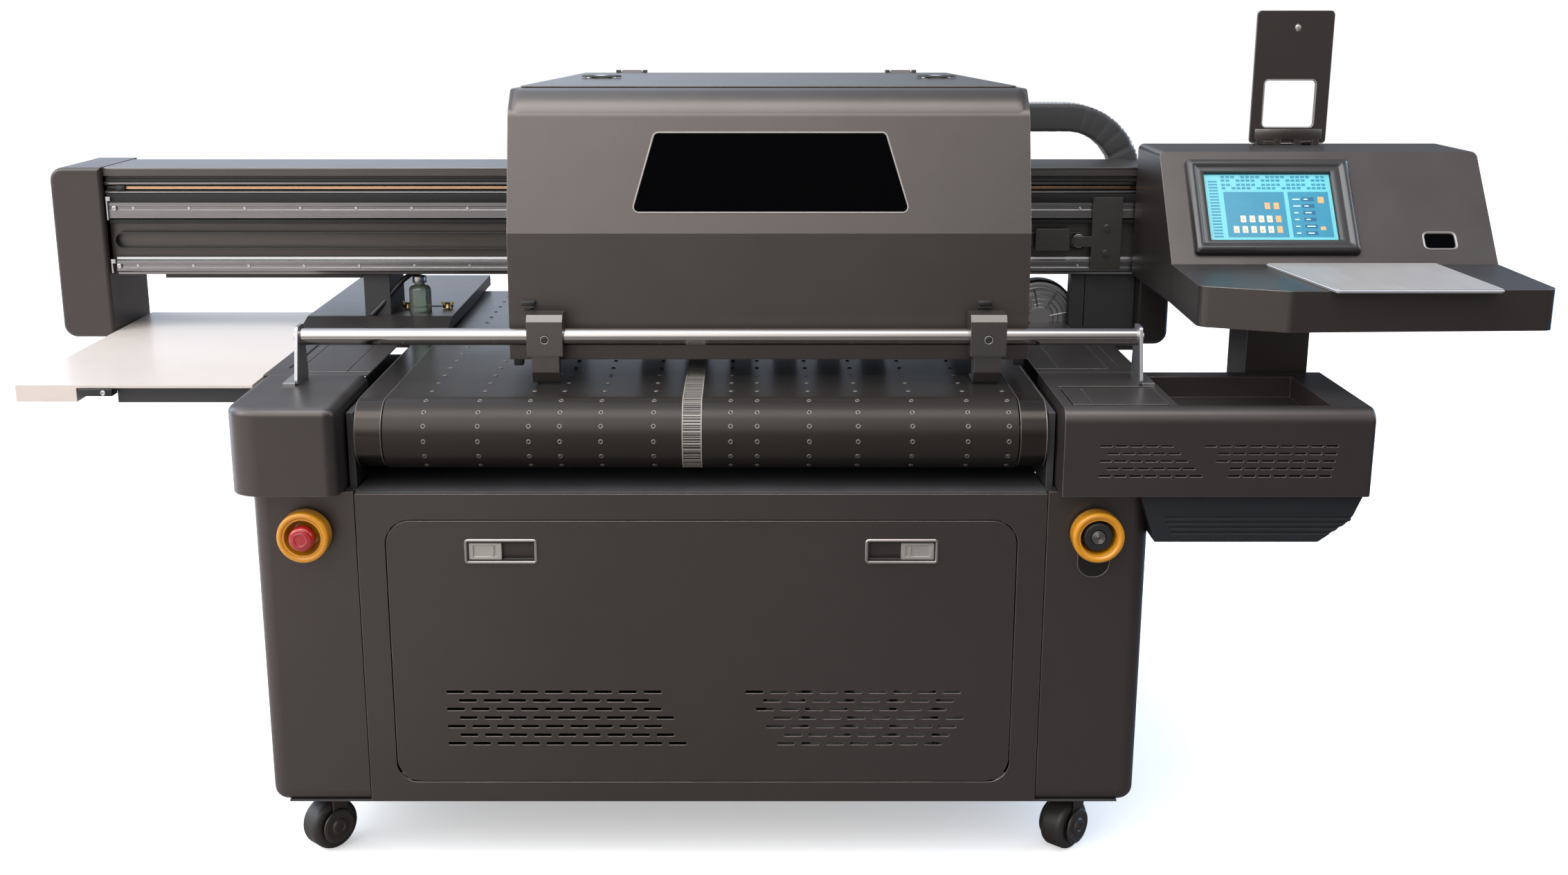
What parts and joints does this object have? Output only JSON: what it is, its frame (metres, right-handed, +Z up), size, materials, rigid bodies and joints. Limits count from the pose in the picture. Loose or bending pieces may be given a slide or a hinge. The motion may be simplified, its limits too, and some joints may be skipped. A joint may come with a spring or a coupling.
{
  "type": "flatbed uv printer",
  "caption": "Belt-fed flatbed UV printer: a scanning carriage on a beam over a vacuum belt, on a wheeled cabinet with an operator console and a side table.",
  "frame": {"origin": "middle of the whole machine's footprint, on the floor under the casters", "axes": "+X along the beam towards the console, +Y from the operator's side to the rear, +Z up"},
  "size_m": [2.965, 1.352, 1.58],
  "materials": {
    "dark_cover": "satin textured powder coat, dark warm grey",
    "hood_cover": "satin textured powder coat, warm grey",
    "frame_steel": "matt black enamel",
    "polished_guard": "dark polished strip",
    "belt_rubber": "fine grained black belt",
    "steel": "turned steel",
    "extrusion": "dark anodised extrusion",
    "rail_aluminium": "drawn bright extrusion",
    "timing_rubber": "toothed belt",
    "chrome_bar": "polished chrome",
    "stop_metal": "satin grey",
    "yellow_guard": "glossy yellow",
    "red_head": "glossy red",
    "black_plastic": "fine grained black",
    "tinted_glass": "dark tinted window",
    "bottle_glass": "clear green-tinged glass",
    "screen_black": "gloss black bezel and glass",
    "pad_silver": "satin silver pad",
    "table_white": "smooth off-white laminate",
    "ink_plastic": "translucent white",
    "sleeve": "ribbed cable sleeve",
    "latch_pale": "satin steel slide",
    "head_steel": "satin steel",
    "tyre_grey": "solid rubber tyre",
    "zinc": "black zinc plate"
  },
  "bodies": {
    "machine": {"cabinet_frame": "frame_steel", "base_pan": "frame_steel", "front_panel": "dark_cover", "side_covers": "dark_cover", "rear_panel": "dark_cover", "control_box": "frame_steel", "ink_tanks": "ink_plastic", "left_nose_cap": "dark_cover", "deck_covers": "dark_cover", "side_plinth": "dark_cover", "arm_housing": "dark_cover", "arm_skirt": "dark_cover", "vacuum_belt": "belt_rubber", "side_guards": "polished_guard", "belt_motor": "black_plastic", "vacuum_box": "extrusion", "vacuum_blower": "extrusion", "beam": "extrusion", "guide_rails": "rail_aluminium", "carriage_drive_belt": "timing_rubber", "carriage_motor": "rail_aluminium", "beam_end_caps": "dark_cover", "beam_supports": "frame_steel", "waste_bottle": "bottle_glass", "front_rail": "chrome_bar", "rail_brackets": "steel", "button_collars": "yellow_guard", "console_housing": "dark_cover", "touch_screen": "screen_black", "console_post": "dark_cover", "desk_pad": "pad_silver", "side_table": "table_white", "table_rail": "dark_cover"},
    "carriage": {"carriage_plate": "frame_steel", "hood_shell": "hood_cover", "hood_window": "tinted_glass", "print_heads": "head_steel", "uv_lamps": "frame_steel"},
    "hood_lid": {"hood_lid": "hood_cover"},
    "cable_chain": {"cable_chain": "sleeve"},
    "drive_pulley": {"drive_pulley": "steel"},
    "front_door": {"front_door": "dark_cover"},
    "left_latch": {"left_latch": "latch_pale"},
    "right_latch": {"right_latch": "latch_pale"},
    "ink_lid": {"ink_lid": "dark_cover"},
    "front_roller": {"front_roller": "steel"},
    "rear_roller": {"rear_roller": "steel"},
    "left_stop": {"left_stop": "stop_metal"},
    "right_stop": {"right_stop": "stop_metal"},
    "stop_button": {"stop_button": "red_head"},
    "key_knob": {"key_knob": "black_plastic"},
    "folding_plate": {"folding_plate": "dark_cover"},
    "front_left_fork": {"front_left_fork": "zinc"},
    "front_left_wheel": {"front_left_wheel": "tyre_grey"},
    "front_right_fork": {"front_right_fork": "zinc"},
    "front_right_wheel": {"front_right_wheel": "tyre_grey"},
    "rear_left_fork": {"rear_left_fork": "zinc"},
    "rear_left_wheel": {"rear_left_wheel": "tyre_grey"},
    "rear_right_fork": {"rear_right_fork": "zinc"},
    "rear_right_wheel": {"rear_right_wheel": "tyre_grey"}
  },
  "joints": [
    {"name": "carriage_slide", "type": "slide", "parent": "machine", "child": "carriage", "axis": [1, 0, 0], "range_m": [-0.9, 0.265]},
    {"name": "cable_chain_slide", "type": "slide", "parent": "machine", "child": "cable_chain", "axis": [1, 0, 0], "range_m": [-0.455, 0.135]},
    {"name": "hood_lid_hinge", "type": "hinge", "parent": "carriage", "child": "hood_lid", "pos_m": [-0.0725, 0.386, 1.44], "axis": [-1, 0, 0], "range_deg": [0, 75]},
    {"name": "drive_pulley_spin", "type": "hinge", "parent": "machine", "child": "drive_pulley", "pos_m": [0.7275, 0.111, 1.095], "axis": [0, 1, 0], "continuous": true},
    {"name": "front_door_hinge", "type": "hinge", "parent": "machine", "child": "front_door", "pos_m": [-0.0725, -0.621, 0.1745], "axis": [1, 0, 0], "range_deg": [0, 80]},
    {"name": "left_latch_slide", "type": "slide", "parent": "front_door", "child": "left_latch", "axis": [1, 0, 0], "range_m": [0, 0.056]},
    {"name": "right_latch_slide", "type": "slide", "parent": "front_door", "child": "right_latch", "axis": [-1, 0, 0], "range_m": [0, 0.056]},
    {"name": "ink_lid_hinge", "type": "hinge", "parent": "machine", "child": "ink_lid", "pos_m": [0.5955, -0.564, 0.9008], "axis": [0, -1, 0], "range_deg": [0, 95]},
    {"name": "front_roller_spin", "type": "hinge", "parent": "machine", "child": "front_roller", "pos_m": [-0.0725, -0.55, 0.834], "axis": [1, 0, 0], "continuous": true},
    {"name": "rear_roller_spin", "type": "hinge", "parent": "machine", "child": "rear_roller", "pos_m": [-0.0725, 0.61, 0.834], "axis": [1, 0, 0], "continuous": true},
    {"name": "left_stop_slide", "type": "slide", "parent": "machine", "child": "left_stop", "axis": [1, 0, 0], "range_m": [-0.315, 0.38]},
    {"name": "right_stop_slide", "type": "slide", "parent": "machine", "child": "right_stop", "axis": [1, 0, 0], "range_m": [-0.36, 0.08]},
    {"name": "stop_button_press", "type": "slide", "parent": "machine", "child": "stop_button", "axis": [0, 1, 0], "range_m": [0, 0.006], "stiffness_N_per_m": 1500},
    {"name": "key_knob_turn", "type": "hinge", "parent": "machine", "child": "key_knob", "pos_m": [0.6445, -0.644, 0.664], "axis": [0, 1, 0], "range_deg": [0, 90]},
    {"name": "folding_plate_hinge", "type": "hinge", "parent": "machine", "child": "folding_plate", "pos_m": [1.1475, 0.058, 1.311], "axis": [-1, 0, 0], "range_deg": [0, 90]},
    {"name": "front_left_swivel", "type": "hinge", "parent": "machine", "child": "front_left_fork", "pos_m": [-0.7875, -0.531, 0.11], "axis": [0, 0, 1], "continuous": true},
    {"name": "front_left_roll", "type": "hinge", "parent": "front_left_fork", "child": "front_left_wheel", "pos_m": [-0.8025, -0.54709, 0.05], "axis": [-0.7314, 0.682, 0], "continuous": true},
    {"name": "front_right_swivel", "type": "hinge", "parent": "machine", "child": "front_right_fork", "pos_m": [0.6425, -0.531, 0.11], "axis": [0, 0, 1], "continuous": true},
    {"name": "front_right_roll", "type": "hinge", "parent": "front_right_fork", "child": "front_right_wheel", "pos_m": [0.6275, -0.54709, 0.05], "axis": [-0.7314, 0.682, 0], "continuous": true},
    {"name": "rear_left_swivel", "type": "hinge", "parent": "machine", "child": "rear_left_fork", "pos_m": [-0.7875, 0.523, 0.11], "axis": [0, 0, 1], "continuous": true},
    {"name": "rear_left_roll", "type": "hinge", "parent": "rear_left_fork", "child": "rear_left_wheel", "pos_m": [-0.8025, 0.50691, 0.05], "axis": [-0.7314, 0.682, 0], "continuous": true},
    {"name": "rear_right_swivel", "type": "hinge", "parent": "machine", "child": "rear_right_fork", "pos_m": [0.6425, 0.523, 0.11], "axis": [0, 0, 1], "continuous": true},
    {"name": "rear_right_roll", "type": "hinge", "parent": "rear_right_fork", "child": "rear_right_wheel", "pos_m": [0.6275, 0.50691, 0.05], "axis": [-0.7314, 0.682, 0], "continuous": true}
  ],
  "couplings": [
    {"joint": "cable_chain_slide", "follows": "carriage_slide", "ratio": 0.5},
    {"joint": "drive_pulley_spin", "follows": "carriage_slide", "rad_per_m": 65.79},
    {"joint": "front_roller_spin", "follows": "rear_roller_spin", "ratio": 1}
  ]
}
